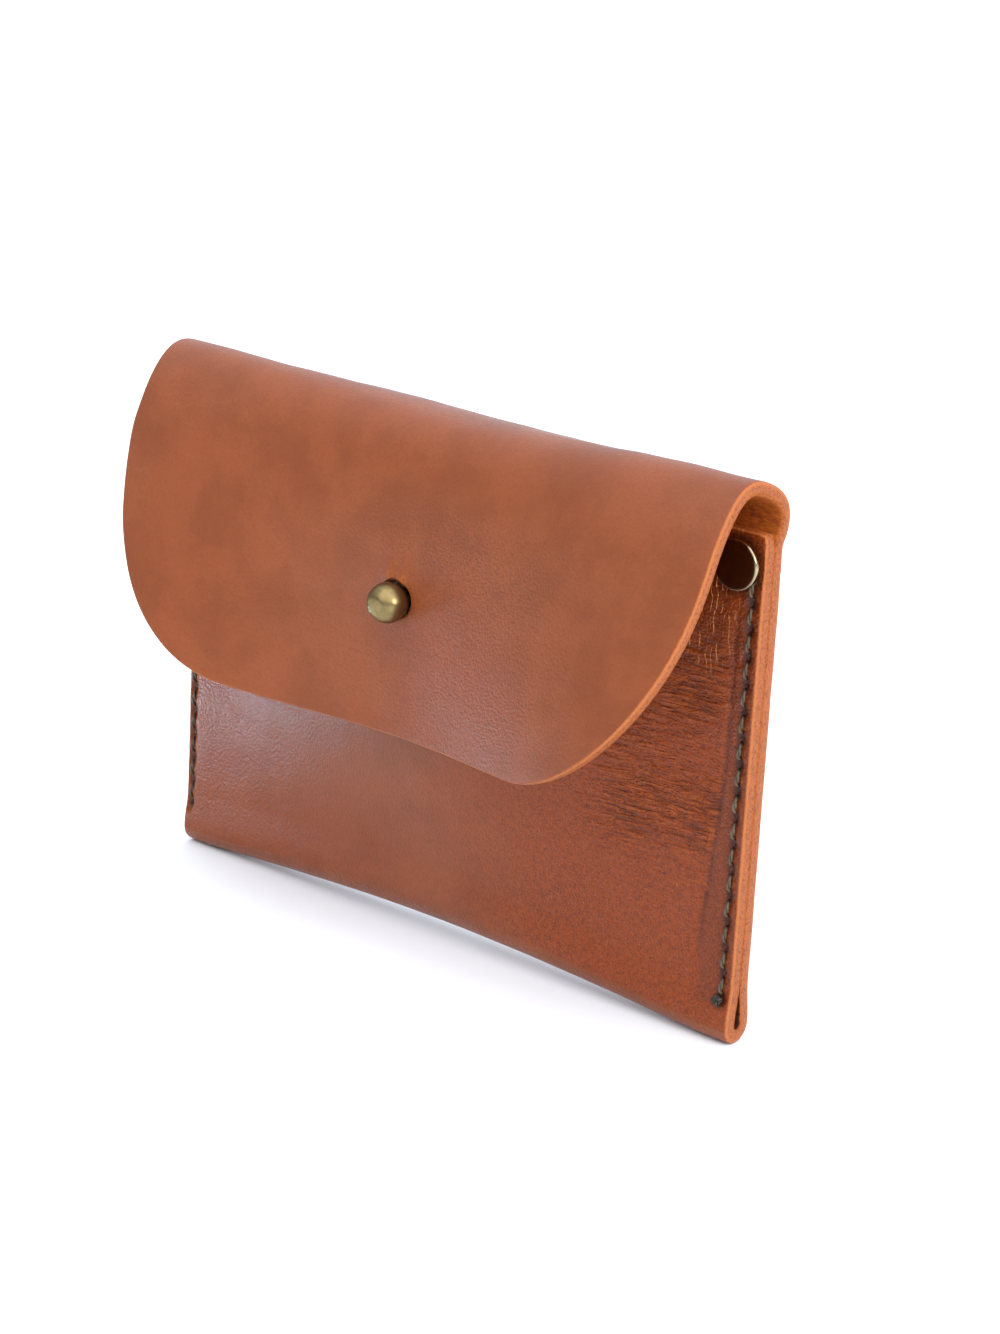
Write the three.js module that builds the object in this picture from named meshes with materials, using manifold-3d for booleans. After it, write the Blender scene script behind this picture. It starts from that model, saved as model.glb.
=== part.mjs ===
// Card holder: one folded sheet of thick leather, stitched and riveted at its sides, whose flap hooks over a ball stud.
// Millimetres. X runs across the width, the front faces -Y and Z is up. Inside this file F is the distance
// forward (-Y) of the seam plane, where the front and back panels meet at the stitched sides.
import * as THREE from 'three';
import Module from 'manifold-3d';
import { mergeVertices } from 'three/addons/utils/BufferGeometryUtils.js';

const wasm = await Module();
wasm.setup();

// ---- Driving dimensions ----
const HALF_WIDTH = 52.5;
const LEATHER = 1.9;          // thickness of the sheet
const SEAM_HALF = 2.05;       // seam plane to the grain face where both panels are sewn together
const SEAM_INNER = 48;        // half width of the pocket between the two sewn sides
const PANEL_TOP = 72;         // height of the front panel's free edge
const STRIP_START = 66;       // height at which the back panel turns into the top strip
const GAP = 0.3;              // clearance between touching pieces
const FOLD_GAP = 1.2;         // slit between two stretches of the sheet at a fold line

// Bottom fold
const FOOT_RADIUS = 2.65;     // outer radius at the sewn ends
const FOOT_RADIUS_GAIN = 1.2; // added at mid width, where the pocket is fuller
const FOOT_FADE = 6.5;        // height over which the fold narrows to two flat layers
const FOOT_LIFT = 2.2;        // the filled pocket lifts the middle of the fold off the table

// How far the panels bow out at mid width
const FRONT_BOW = 8;
const BACK_BOW = 2.8;
const FRONT_PHASE = 0.74;     // the front bows along this much of a half sine wave from the fold to the mouth
const BACK_FULL = 2 / 3;      // the back bows fully from this share of the pocket's height upwards

// The top strip and flap, followed along the grain face from the back panel: at each length, which way the
// leather heads, in degrees from straight up towards the front, at the flap's sides and at its middle.
const HEADINGS = [
  { at: 0, side: 0, middle: 0 },
  { at: 3.2, side: 0, middle: -6 },
  { at: 4.7, side: -27, middle: -15 },
  { at: 6.4, side: -12, middle: -8 },
  { at: 9, side: 14, middle: 24 },
  { at: 11.5, side: 46, middle: 58 },
  { at: 14, side: 63, middle: 78 },
  { at: 17.5, side: 76, middle: 86 },
  { at: 21.5, side: 116, middle: 108 },
  { at: 25, side: 140, middle: 140 },
  { at: 30, side: 152, middle: 162 },
  { at: 37, side: 161, middle: 168 },
  { at: 48, side: 160, middle: 178 },
  { at: 67.4, side: 165, middle: 174 },
];
const STRIP_LENGTH = 67.4;
const CORNER_LENGTH = 35;     // the flap's rounded corners are quarter ellipses, this long
const CORNER_WIDTH = 26;      // and this wide
const FOLD_LINES = [10.5, 16.5, 22.5];

// Hardware
const STUD_HEIGHT = 53.5;
const STUD_BALL_RADIUS = 3;
const RIVET_X = 48.4;
const RIVET_HEIGHT = 67.4;
const RIVET_CAP_RADIUS = 3.5;
const STITCH_X = 50.8;
const STITCH_BOTTOM = 6.6;
const STITCH_PITCH = 3.73;
const STITCH_HOLES = 16;

// Mesh fineness
const ACROSS = 18;
const STEP = 0.5;
const ROUND = 20;

// ---- Booleans ----
function toSolid(geometry) {
  const bare = geometry.clone();
  bare.deleteAttribute('normal');
  bare.deleteAttribute('uv');
  const merged = mergeVertices(bare, 1e-5);
  return new wasm.Manifold(new wasm.Mesh({
    numProp: 3,
    vertProperties: new Float32Array(merged.attributes.position.array),
    triVerts: new Uint32Array(merged.index.array),
  }));
}

function toGeometry(solid) {
  const mesh = solid.getMesh();
  const geometry = new THREE.BufferGeometry();
  geometry.setAttribute('position', new THREE.BufferAttribute(mesh.vertProperties, 3));
  geometry.setIndex(new THREE.BufferAttribute(mesh.triVerts, 1));
  return geometry;
}

function box(width, depth, height, x, y, z) {
  return toSolid(new THREE.BoxGeometry(width, depth, height).translate(x, y, z));
}

// A turned solid on an axis along Y. Profile points are [radius, distance forward].
function turned(profile, x, z, sides = ROUND) {
  const points = profile.map(([radius, forward]) => new THREE.Vector2(radius, forward));
  const geometry = new THREE.LatheGeometry(points, sides);
  geometry.rotateX(Math.PI);
  geometry.translate(x, 0, z);
  const solid = toSolid(geometry);
  return solid.volume() > 0 ? solid : toSolid(flipped(geometry));
}

function flipped(geometry) {
  const index = geometry.index.array;
  for (let i = 0; i < index.length; i += 3) {
    [index[i], index[i + 1]] = [index[i + 1], index[i]];
  }
  return geometry;
}

// ---- Shape of the leather ----
const cosSquared = (t) => Math.cos(Math.PI / 2 * Math.min(1, Math.max(0, t))) ** 2;

// 1 at mid width, falling smoothly to 0 at the sewn sides
const fullness = (x) => cosSquared(Math.abs(x) / SEAM_INNER);

const footRadius = (x) => FOOT_RADIUS + FOOT_RADIUS_GAIN * fullness(x);
const footLift = (x) => FOOT_LIFT * fullness(x);

// Half thickness of the two layers at height z, before the pocket's bow is added
function layerHalf(x, z) {
  const above = z - footLift(x) - footRadius(x);
  return SEAM_HALF + (footRadius(x) - SEAM_HALF) * cosSquared(above / FOOT_FADE);
}

// How far up the pocket height z is, from 0 at the fold to 1 at the mouth
function upPocket(x, z) {
  const start = footLift(x) + footRadius(x);
  return Math.min(1, Math.max(0, (z - start) / (PANEL_TOP - start)));
}

function frontFace(x, z) {
  return layerHalf(x, z) + FRONT_BOW * fullness(x) * Math.sin(Math.PI * FRONT_PHASE * upPocket(x, z));
}

function backFace(x, z) {
  const t = Math.min(1, upPocket(x, z) / BACK_FULL);
  return -(layerHalf(x, z) + BACK_BOW * fullness(x) * Math.sin(Math.PI / 2 * t));
}

// Smooth heading in radians at a length along the strip, by cubic Hermite pieces
function heading(x, at) {
  const side = 1 - fullness(x);
  const value = (k) => HEADINGS[k].side * side + HEADINGS[k].middle * (1 - side);
  const last = HEADINGS.length - 1;
  let k = 0;
  while (k < last - 1 && at > HEADINGS[k + 1].at) {
    k += 1;
  }
  const slope = (i) => {
    const a = Math.max(0, i - 1);
    const b = Math.min(last, i + 1);
    return i === 0 ? 0 : (value(b) - value(a)) / (HEADINGS[b].at - HEADINGS[a].at);
  };
  const span = HEADINGS[k + 1].at - HEADINGS[k].at;
  const t = Math.min(1, (at - HEADINGS[k].at) / span);
  const degrees = value(k) * (1 + 2 * t) * (1 - t) ** 2 + value(k + 1) * t * t * (3 - 2 * t)
    + slope(k) * span * t * (1 - t) ** 2 - slope(k + 1) * span * t * t * (1 - t);
  return THREE.MathUtils.degToRad(degrees);
}

// Grain-face point of the top strip and flap, with its outward normal, at width x and length at
function stripPoint(x, at) {
  let forward = backFace(x, STRIP_START);
  let height = STRIP_START;
  const steps = Math.max(1, Math.ceil(at / STEP));
  const length = at / steps;
  for (let i = 0; i < steps; i += 1) {
    const angle = heading(x, (i + 0.5) * length);
    forward += Math.sin(angle) * length;
    height += Math.cos(angle) * length;
  }
  const angle = heading(x, at);
  return { forward, height, normal: [-Math.cos(angle), Math.sin(angle)] };
}

// Half width of the strip: straight sides, then the flap's rounded corners
function stripHalfWidth(at) {
  const into = Math.max(0, at - (STRIP_LENGTH - CORNER_LENGTH)) / CORNER_LENGTH;
  return HALF_WIDTH - CORNER_WIDTH + CORNER_WIDTH * Math.sqrt(Math.max(0, 1 - into * into));
}

// Grain and flesh points of one spot of the sheet
function bothFaces(x, { forward, height, normal }) {
  return {
    grain: [x, -forward, height],
    flesh: [x, -(forward - LEATHER * normal[0]), height - LEATHER * normal[1]],
  };
}

// A closed sheet from a grid of spots: rows run along the leather, columns across it
function sheetSolid(rows) {
  const down = rows.length;
  const across = rows[0].length;
  const count = down * across;
  const position = [];
  for (const face of ['grain', 'flesh']) {
    for (const row of rows) {
      for (const spot of row) {
        position.push(...spot[face]);
      }
    }
  }
  const index = [];
  const quad = (a, b, c, d) => index.push(a, b, c, a, c, d);
  const grain = (i, j) => i * across + j;
  const flesh = (i, j) => count + grain(i, j);
  for (let i = 0; i < down - 1; i += 1) {
    for (let j = 0; j < across - 1; j += 1) {
      quad(grain(i, j), grain(i, j + 1), grain(i + 1, j + 1), grain(i + 1, j));
      quad(flesh(i, j), flesh(i + 1, j), flesh(i + 1, j + 1), flesh(i, j + 1));
    }
    quad(grain(i, 0), grain(i + 1, 0), flesh(i + 1, 0), flesh(i, 0));
    const j = across - 1;
    quad(grain(i, j), flesh(i, j), flesh(i + 1, j), grain(i + 1, j));
  }
  for (let j = 0; j < across - 1; j += 1) {
    quad(grain(0, j), flesh(0, j), flesh(0, j + 1), grain(0, j + 1));
    const i = down - 1;
    quad(grain(i, j), grain(i, j + 1), flesh(i, j + 1), flesh(i, j));
  }
  const geometry = new THREE.BufferGeometry();
  geometry.setAttribute('position', new THREE.Float32BufferAttribute(position, 3));
  geometry.setIndex(index);
  const solid = toSolid(geometry);
  return solid.volume() > 0 ? solid : toSolid(flipped(geometry));
}

const spread = (from, to, pieces) => Array.from({ length: pieces + 1 }, (_, i) => from + (to - from) * i / pieces);

// ---- Leather pieces ----
// Front panel, bottom fold and back panel up to the first fold line, as one sheet
function pocketSheet() {
  const xs = [-HALF_WIDTH, ...spread(-SEAM_INNER, SEAM_INNER, ACROSS - 2), HALF_WIDTH];
  const columns = xs.map((x) => {
    const lift = footLift(x);
    const radius = footRadius(x);
    const front = spread(1, 0, 11).map((t) => {
      const z = lift + radius + (PANEL_TOP - lift - radius) * t;
      return { forward: frontFace(x, z), height: z, normal: [1, 0] };
    });
    // An odd number of facets, so that the fold has a level one to stand on
    const fold = spread(0, 1, 9).slice(1, -1).map((t) => {
      const angle = Math.PI * t;
      const normal = [Math.cos(angle), -Math.sin(angle)];
      return { forward: radius * normal[0], height: lift + radius + radius * normal[1], normal };
    });
    const back = spread(0, 1, 10).map((t) => {
      const z = lift + radius + (STRIP_START - lift - radius) * t;
      return { forward: backFace(x, z), height: z, normal: [-1, 0] };
    });
    const strip = spread(0, FOLD_LINES[0] - FOLD_GAP / 2, 6).slice(1).map((at) => stripPoint(x, at));
    return [...front, ...fold, ...back, ...strip].map((spot) => bothFaces(x, spot));
  });
  return sheetSolid(columns[0].map((_, i) => columns.map((column) => column[i])));
}

function stripSheet(lengths) {
  return sheetSolid(lengths.map((at) => spread(-1, 1, ACROSS).map((u) => {
    const x = u * stripHalfWidth(at);
    return bothFaces(x, stripPoint(x, at));
  })));
}

// One of the two stretches of the top fold, with half a slit's width left out at each fold line
const foldStretch = (from, to) => stripSheet(spread(from + FOLD_GAP / 2, to - FOLD_GAP / 2, 3));

const stitchHeights = Array.from({ length: STITCH_HOLES }, (_, k) => STITCH_BOTTOM + STITCH_PITCH * k);

function pocketLeather() {
  let solid = pocketSheet();
  // Glue line that joins both layers down each sewn side, from above the fold's hollow to the mouth
  const glueBottom = 8;
  const glueWidth = HALF_WIDTH - SEAM_INNER + 0.5;
  for (const side of [-1, 1]) {
    const x = side * (HALF_WIDTH - glueWidth / 2);
    solid = solid.add(box(glueWidth, 0.8, PANEL_TOP - glueBottom, x, 0, (PANEL_TOP + glueBottom) / 2));
    for (const z of stitchHeights) {
      solid = solid.subtract(box(1.1, 12, 1.1, side * STITCH_X, 0, z));
    }
    solid = solid.subtract(turned([[0, -8], [1.7, -8], [1.7, 8], [0, 8]], side * RIVET_X, RIVET_HEIGHT, 12));
  }
  return solid.subtract(turned([[0, 2], [2.2, 2], [2.2, 20], [0, 20]], 0, STUD_HEIGHT, 12));
}

// The flap's keyhole is made large enough for the ball to pass while the flap stays stiff
function flapLeather() {
  const cornerStart = STRIP_LENGTH - CORNER_LENGTH;
  const straight = spread(FOLD_LINES[2] + FOLD_GAP / 2, cornerStart, 4);
  // Rows crowd towards the free edge, so that the corners stay round
  const corner = spread(0, 1, 14).slice(1).map((t) => cornerStart + CORNER_LENGTH * Math.sin(Math.PI / 2 * t));
  const flap = stripSheet([...straight, ...corner]);
  const radius = STUD_BALL_RADIUS + 0.6;
  const drop = 5;
  const top = STUD_HEIGHT + 0.3;
  const circle = (z) => turned([[0, 2], [radius, 2], [radius, 30], [0, 30]], 0, z, 16);
  const slot = circle(top).add(circle(top - drop)).add(box(2 * radius, 28, drop, 0, -16, top - drop / 2));
  return flap.subtract(slot);
}

// ---- Hardware ----
const studBase = frontFace(0, STUD_HEIGHT);

function studBall() {
  const bore = 1.25;
  const neck = 1.55;
  const centre = 6.1;
  const startAngle = Math.asin(neck / STUD_BALL_RADIUS);
  const flatAngle = Math.PI - Math.asin(1.5 / STUD_BALL_RADIUS);
  const ball = spread(startAngle, flatAngle, 8).map((angle) => [
    STUD_BALL_RADIUS * Math.sin(angle),
    centre - STUD_BALL_RADIUS * Math.cos(angle),
  ]);
  const crown = [0, ball.at(-1)[1] + 0.15];
  const profile = [
    [0, 2.2], [bore, 2.2], [bore, -1.6], [1.9, -1.6], [1.9, GAP], [3.4, GAP], [3.4, 0.9], [3.2, 1.1],
    [neck, 1.1], ...ball, crown,
  ];
  return turned(profile.map(([radius, forward]) => [radius, studBase + forward]), 0, STUD_HEIGHT);
}

function studScrew() {
  const head = -LEATHER - GAP;
  const profile = [[0, head - 1.2], [3.7, head - 1.2], [4, head - 0.9], [4, head], [0.95, head], [0.95, 1.8], [0, 1.8]];
  const solid = turned(profile.map(([radius, forward]) => [radius, studBase + forward]), 0, STUD_HEIGHT);
  const slotDepth = 0.6;
  return solid.subtract(box(9, slotDepth, 0.9, 0, -(studBase + head - 1.2 + slotDepth / 2), STUD_HEIGHT));
}

// Front cap with the post that runs through both layers
function rivetPost(x) {
  const face = SEAM_HALF + GAP;
  const profile = [
    [0, -2.95], [1.35, -2.95], [1.35, face], [RIVET_CAP_RADIUS, face], [RIVET_CAP_RADIUS, face + 0.65],
    [3.35, face + 0.95], [2.95, face + 1.1], [1.6, face + 1.2], [0, face + 1.25],
  ];
  return turned(profile, x, RIVET_HEIGHT);
}

// Back cap, whose recess takes the end of the post
function rivetCap(x) {
  const face = -SEAM_HALF - 0.4;
  const radius = 3.2;
  const profile = [
    [0, face - 1.5], [1.4, face - 1.45], [2.6, face - 1.3], [radius, face - 0.8], [radius, face],
    [1.65, face], [1.65, face - 0.85], [0, face - 0.85],
  ];
  return turned(profile, x, RIVET_HEIGHT);
}

// ---- Thread ----
// Saddle stitch: a run of stitches on each face, joined by the passes through the holes, with a knot at the bottom
function seamThread(side) {
  const x = side * STITCH_X;
  const width = 0.8;
  const thick = 0.4;
  const pass = 0.5;
  const clear = (z) => layerHalf(x, z) + GAP;
  let solid = null;
  const join = (piece) => {
    solid = solid ? solid.add(piece) : piece;
  };
  for (const z of stitchHeights) {
    const reach = 2 * (clear(z) + thick / 2);
    join(box(pass, reach, pass, x, 0, z));
  }
  for (const z of stitchHeights.slice(0, -1)) {
    const near = Math.max(clear(z), clear(z + STITCH_PITCH));
    for (const face of [-1, 1]) {
      join(box(width, thick, STITCH_PITCH + pass, x, face * (near + thick / 2), z + STITCH_PITCH / 2));
    }
  }
  const knot = new THREE.SphereGeometry(0.8, 10, 6).translate(x, -(clear(STITCH_BOTTOM) + 0.85), STITCH_BOTTOM);
  join(toSolid(knot));
  return solid;
}

// ---- Materials and assembly ----
const leather = () => new THREE.MeshStandardMaterial({ color: 0xa0532f, roughness: 0.45, metalness: 0 });
const agedBrass = () => new THREE.MeshStandardMaterial({ color: 0x9a8a52, roughness: 0.3, metalness: 1 });
const thread = () => new THREE.MeshStandardMaterial({ color: 0x4a3b2a, roughness: 0.7, metalness: 0 });

const part = new THREE.Group();

function addPiece(name, solid, material) {
  const mesh = new THREE.Mesh(toGeometry(solid), material);
  mesh.name = name;
  part.add(mesh);
}

addPiece('pocket_leather', pocketLeather(), leather());
addPiece('fold_rear_leather', foldStretch(FOLD_LINES[0], FOLD_LINES[1]), leather());
addPiece('fold_front_leather', foldStretch(FOLD_LINES[1], FOLD_LINES[2]), leather());
addPiece('flap_leather', flapLeather(), leather());
addPiece('stud_ball', studBall(), agedBrass());
addPiece('stud_screw', studScrew(), agedBrass());
for (const [name, side] of [['left', -1], ['right', 1]]) {
  addPiece(`rivet_${name}_post`, rivetPost(side * RIVET_X), agedBrass());
  addPiece(`rivet_${name}_cap`, rivetCap(side * RIVET_X), agedBrass());
  addPiece(`thread_${name}`, seamThread(side), thread());
}

// The origin is the middle of the footprint, on the table
const bounds = new THREE.Box3().setFromObject(part);
part.position.set(0, -(bounds.min.y + bounds.max.y) / 2, -bounds.min.z);

export default part;
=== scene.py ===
"""Looks of the card holder: one folded sheet of thick leather, sewn and riveted at its sides, whose flap
hooks over a brass ball stud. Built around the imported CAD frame.

Shapes are worked out in millimetres in the sheet's own terms: x across the width, F the distance forward of
the seam plane where the front and back panels meet, and z upwards. q runs along the sheet: 0 to 1 down the
front panel, 1 to 2 round the bottom fold, 2 to 3 up the back, and from 3 on, millimetres along the top strip.
"""
import math

import bmesh
import bpy
import numpy as np
from mathutils import Matrix, Vector


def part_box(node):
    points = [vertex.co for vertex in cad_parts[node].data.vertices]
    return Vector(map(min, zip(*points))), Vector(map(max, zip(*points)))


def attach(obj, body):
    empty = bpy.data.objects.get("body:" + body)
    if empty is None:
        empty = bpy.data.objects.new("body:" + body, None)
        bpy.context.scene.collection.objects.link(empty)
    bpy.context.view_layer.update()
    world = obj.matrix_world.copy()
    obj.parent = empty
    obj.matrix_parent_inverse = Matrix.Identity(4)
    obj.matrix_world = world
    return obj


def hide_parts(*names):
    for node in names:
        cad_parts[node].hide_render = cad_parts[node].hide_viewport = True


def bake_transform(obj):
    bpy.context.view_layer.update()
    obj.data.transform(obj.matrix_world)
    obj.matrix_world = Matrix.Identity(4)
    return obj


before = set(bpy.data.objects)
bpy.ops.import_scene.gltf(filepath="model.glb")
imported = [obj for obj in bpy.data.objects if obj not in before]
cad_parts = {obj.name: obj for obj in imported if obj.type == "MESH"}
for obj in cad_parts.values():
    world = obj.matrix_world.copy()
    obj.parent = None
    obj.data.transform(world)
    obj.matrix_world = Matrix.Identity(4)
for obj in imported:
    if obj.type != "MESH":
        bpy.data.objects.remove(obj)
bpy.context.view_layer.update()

MM = 0.001
rng = np.random.default_rng(7)

# -------- where the sheet's own axes lie in the frame
POST_BACK = 2.95  # the rivet post ends this far behind the seam plane
STUD_HEIGHT = 53.5
SEAM_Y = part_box("rivet_right_post")[1].y / MM - POST_BACK
FLOOR_LIFT = (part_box("stud_ball")[0].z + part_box("stud_ball")[1].z) / 2 / MM - STUD_HEIGHT


def to_world(x, forward, height):
    """Row-frame points in metres from sheet terms in millimetres."""
    return np.stack([x, SEAM_Y - forward, height + FLOOR_LIFT], -1) * MM


# -------- shape of the leather
HALF_WIDTH = 52.5
LEATHER = 2.04  # thickness
SEAM_HALF = 2.05  # seam plane to the grain face where both panels are sewn together
SEAM_INNER = 48.0  # half width of the pocket between the two sewn sides
PANEL_TOP = 72.0  # height of the front panel's free edge
STRIP_START = 66.0  # height at which the back panel turns into the top strip
FOOT_RADIUS = 2.65  # outer radius of the bottom fold at the sewn ends
FOOT_RADIUS_GAIN = 1.2  # added at mid width
FOOT_FADE = 6.5  # height over which the fold narrows to two flat layers
FOOT_LIFT = 2.2  # the middle of the fold arches this far off the floor
FRONT_BOW = 8.0
BACK_BOW = 2.8
FRONT_PHASE = 0.74  # the front bows along this much of a half sine wave from the fold to the mouth
BACK_FULL = 2 / 3  # the back is fully bowed at this share of its height
# Length along the strip, then its heading at the sides and at the middle, in degrees from straight up
HEADINGS = np.array([
    (0, 0, 0), (3.2, 0, -6), (4.7, -27, -15), (6.4, -12, -8), (9, 14, 24), (11.5, 46, 58), (14, 63, 78),
    (17.5, 76, 86), (21.5, 116, 108), (25, 140, 140), (30, 152, 162), (37, 161, 168), (48, 160, 178),
    (67.4, 165, 174)], float)
STRIP_LENGTH = 67.4
CORNER_LENGTH = 35.0  # the flap's rounded corners are quarter ellipses, this long
CORNER_WIDTH = 26.0  # and this wide


def cos_squared(t):
    return np.cos(np.pi / 2 * np.clip(t, 0, 1)) ** 2


def gauss(t):
    return np.exp(-t * t)


def smoothstep(t):
    t = np.clip(t, 0, 1)
    return t * t * (3 - 2 * t)


def fullness(x):
    """1 at mid width, 0 at the sewn sides."""
    return cos_squared(np.abs(x) / SEAM_INNER)


def foot_radius(x):
    return FOOT_RADIUS + FOOT_RADIUS_GAIN * fullness(x)


def foot_lift(x):
    """How far the bottom fold arches off the floor."""
    across = np.minimum(1, np.abs(x) / SEAM_INNER)
    return FOOT_LIFT * (0.5 * fullness(x) + 0.5 * (1 - across ** 3))


def pocket_foot(x):
    """Height where the bottom fold turns into the two upright panels."""
    return foot_lift(x) + foot_radius(x)


def layer_half(x, z):
    return SEAM_HALF + (foot_radius(x) - SEAM_HALF) * cos_squared((z - pocket_foot(x)) / FOOT_FADE)


def up_pocket(x, z):
    return np.clip((z - pocket_foot(x)) / (PANEL_TOP - pocket_foot(x)), 0, 1)


def front_face(x, z):
    return layer_half(x, z) + FRONT_BOW * fullness(x) * np.sin(np.pi * FRONT_PHASE * up_pocket(x, z))


def back_face(x, z):
    t = np.minimum(1, up_pocket(x, z) / BACK_FULL)
    return -(layer_half(x, z) + BACK_BOW * fullness(x) * np.sin(np.pi / 2 * t))


def headings(x, at):
    """Heading in radians for arrays of widths x at one length, by smooth cubic pieces."""
    side = 1 - fullness(x)
    stations = HEADINGS[:, 0]
    value = HEADINGS[:, 1, None] * side + HEADINGS[:, 2, None] * (1 - side)
    slope = np.zeros_like(value)
    slope[1:-1] = (value[2:] - value[:-2]) / (stations[2:] - stations[:-2])[:, None]
    slope[-1] = (value[-1] - value[-2]) / (stations[-1] - stations[-2])
    k = int(np.clip(np.searchsorted(stations, at) - 1, 0, len(stations) - 2))
    span = stations[k + 1] - stations[k]
    t = min(1, (at - stations[k]) / span)
    degrees = (value[k] * (1 + 2 * t) * (1 - t) ** 2 + value[k + 1] * t * t * (3 - 2 * t)
               + slope[k] * span * t * (1 - t) ** 2 - slope[k + 1] * span * t * t * (1 - t))
    return np.radians(degrees)


# The strip's line at many widths, summed once and then read between its entries
TABLE_X = np.linspace(-HALF_WIDTH - 1, HALF_WIDTH + 1, 215)
TABLE_STEP = 0.1
TABLE_AT = np.arange(0, STRIP_LENGTH + 1.5, TABLE_STEP)
ANGLE_TABLE = np.stack([headings(TABLE_X, at) for at in TABLE_AT], 1)
_middle = np.stack([headings(TABLE_X, at + TABLE_STEP / 2) for at in TABLE_AT[:-1]], 1)
_start = back_face(TABLE_X, STRIP_START)[:, None]
FORWARD_TABLE = np.concatenate([_start, _start + np.cumsum(np.sin(_middle), 1) * TABLE_STEP], 1)
HEIGHT_TABLE = np.concatenate([np.full_like(_start, STRIP_START),
                               STRIP_START + np.cumsum(np.cos(_middle), 1) * TABLE_STEP], 1)


def from_table(table, x, at):
    u = np.clip((x - TABLE_X[0]) / (TABLE_X[1] - TABLE_X[0]), 0, len(TABLE_X) - 1.001)
    v = np.clip(at / TABLE_STEP, 0, len(TABLE_AT) - 1.001)
    i, j = u.astype(int), v.astype(int)
    a, b = u - i, v - j
    return ((table[i, j] * (1 - a) + table[i + 1, j] * a) * (1 - b)
            + (table[i, j + 1] * (1 - a) + table[i + 1, j + 1] * a) * b)


def spine(x, q):
    """Grain-face point (F, z) and outward direction (in F, in z) of the sheet at x, q."""
    foot, radius = pocket_foot(x), foot_radius(x)
    z_front = PANEL_TOP + (foot - PANEL_TOP) * np.clip(q, -0.02, 1)
    turn = np.pi * np.clip(q - 1, 0, 1)
    z_back = foot + (STRIP_START - foot) * np.clip(q - 2, 0, 1)
    at = np.clip(q - 3, 0, STRIP_LENGTH + 1)
    angle = from_table(ANGLE_TABLE, x, at)
    stretches = [q <= 1, q <= 2, q <= 3]
    forward = np.select(stretches, [front_face(x, z_front), radius * np.cos(turn), back_face(x, z_back)],
                        from_table(FORWARD_TABLE, x, at))
    height = np.select(stretches, [z_front, foot - radius * np.sin(turn), z_back],
                       from_table(HEIGHT_TABLE, x, at))
    out_forward = np.select(stretches, [np.ones_like(x), np.cos(turn), -np.ones_like(x)], -np.cos(angle))
    out_height = np.select(stretches, [np.zeros_like(x), -np.sin(turn), np.zeros_like(x)], np.sin(angle))
    return forward, height, out_forward, out_height


def along(x, q):
    """Length in millimetres along the sheet, from the front panel's free edge."""
    foot = pocket_foot(x)
    return ((PANEL_TOP - foot) * np.clip(q, -0.02, 1) + np.pi * foot_radius(x) * np.clip(q - 1, 0, 1)
            + (STRIP_START - foot) * np.clip(q - 2, 0, 1) + np.clip(q - 3, 0, None))


# -------- hardware and stitch places
RIVET_X = 48.4
RIVET_HEIGHT = 67.4
RIVET_RADIUS = 3.5
STITCH_X = 50.8  # the right seam's line, and at the left:
STITCH_X_LEFT = 51.5
STITCH_BOTTOM = 6.6
STITCH_PITCH = 3.73
STITCH_HOLES = 16
HOLE_HEIGHTS = STITCH_BOTTOM + STITCH_PITCH * np.arange(STITCH_HOLES)
CREASE_X = 46.5  # foot of the crease beside the seam
CREASE_LEAN = 2.3  # its top lies this much farther out
KEYHOLE_X = -0.3
KEYHOLE_Z = 53.6
KEYHOLE_RADIUS = 3.15
FLAP_FACE = 30  # everything farther along the strip than this is the flap's face

_column = int(np.argmin(np.abs(TABLE_X - KEYHOLE_X)))
_past = TABLE_AT > FLAP_FACE
KEYHOLE_AT = float(TABLE_AT[_past][np.argmin(np.abs(HEIGHT_TABLE[_column][_past] - KEYHOLE_Z))])


# -------- smooth random fields
class Field:
    """Sum of a few random waves: a smooth, repeatable unevenness of roughly one wavelength."""

    def __init__(self, length_x, length_v, waves=24):
        angle = rng.uniform(0, 2 * np.pi, waves)
        size = rng.uniform(0.6, 1.4, waves)
        self.kx = 2 * np.pi * np.cos(angle) * size / length_x
        self.kv = 2 * np.pi * np.sin(angle) * size / length_v
        self.phase = rng.uniform(0, 2 * np.pi, waves)
        self.scale = math.sqrt(2 / waves)

    def __call__(self, x, v):
        total = np.zeros_like(x)
        for kx, kv, phase in zip(self.kx, self.kv, self.phase):
            total += np.sin(kx * x + kv * v + phase)
        return total * self.scale


broad = Field(40, 40)
lumps = Field(9, 9)
ripples = Field(9, 1.9, 40)
ripple_patches = Field(14, 18)
pleats = Field(1.9, 14, 40)

# -------- relief of the grain face, in millimetres
BROAD_HEIGHT = 0.10
LUMP_HEIGHT = 0.022
TRENCH_DEPTH, TRENCH_WIDTH = 0.16, 0.7
# The third value is the width of the painted shade round each stitch hole
HOLE_DEPTH, HOLE_WIDTH, HOLE_SHADE_WIDTH = 0.60, 0.58, 0.60
CREASE_DEPTH, CREASE_WIDTH = 0.24, 0.38
RIDGE_HEIGHT, RIDGE_WIDTH = 0.08, 0.8
PRESS_DEPTH, PRESS_RADIUS, PRESS_WIDTH = 0.30, 3.2, 1.0
RIPPLE_HEIGHT = 0.05
LIP_HEIGHT, LIP_REACH, LIP_SPREAD = 0.75, 1.5, 0.75
SLIT_DEPTH, SLIT_WIDTH, SLIT_LENGTH = 0.20, 0.7, 6.0
SLIT_RIDGE_HEIGHT, SLIT_RIDGE_X, SLIT_RIDGE_WIDTH = 0.16, 1.25, 0.5
COLLAR_HEIGHT, COLLAR_WIDTH = 0.15, 1.6
LEFT_SHARE = 0.08  # creases and ripples show this much at the left seam
RELIEF_MASKS = ("dark", "crack", "wrinkle", "polished", "rich", "pebbled", "lip")


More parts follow.
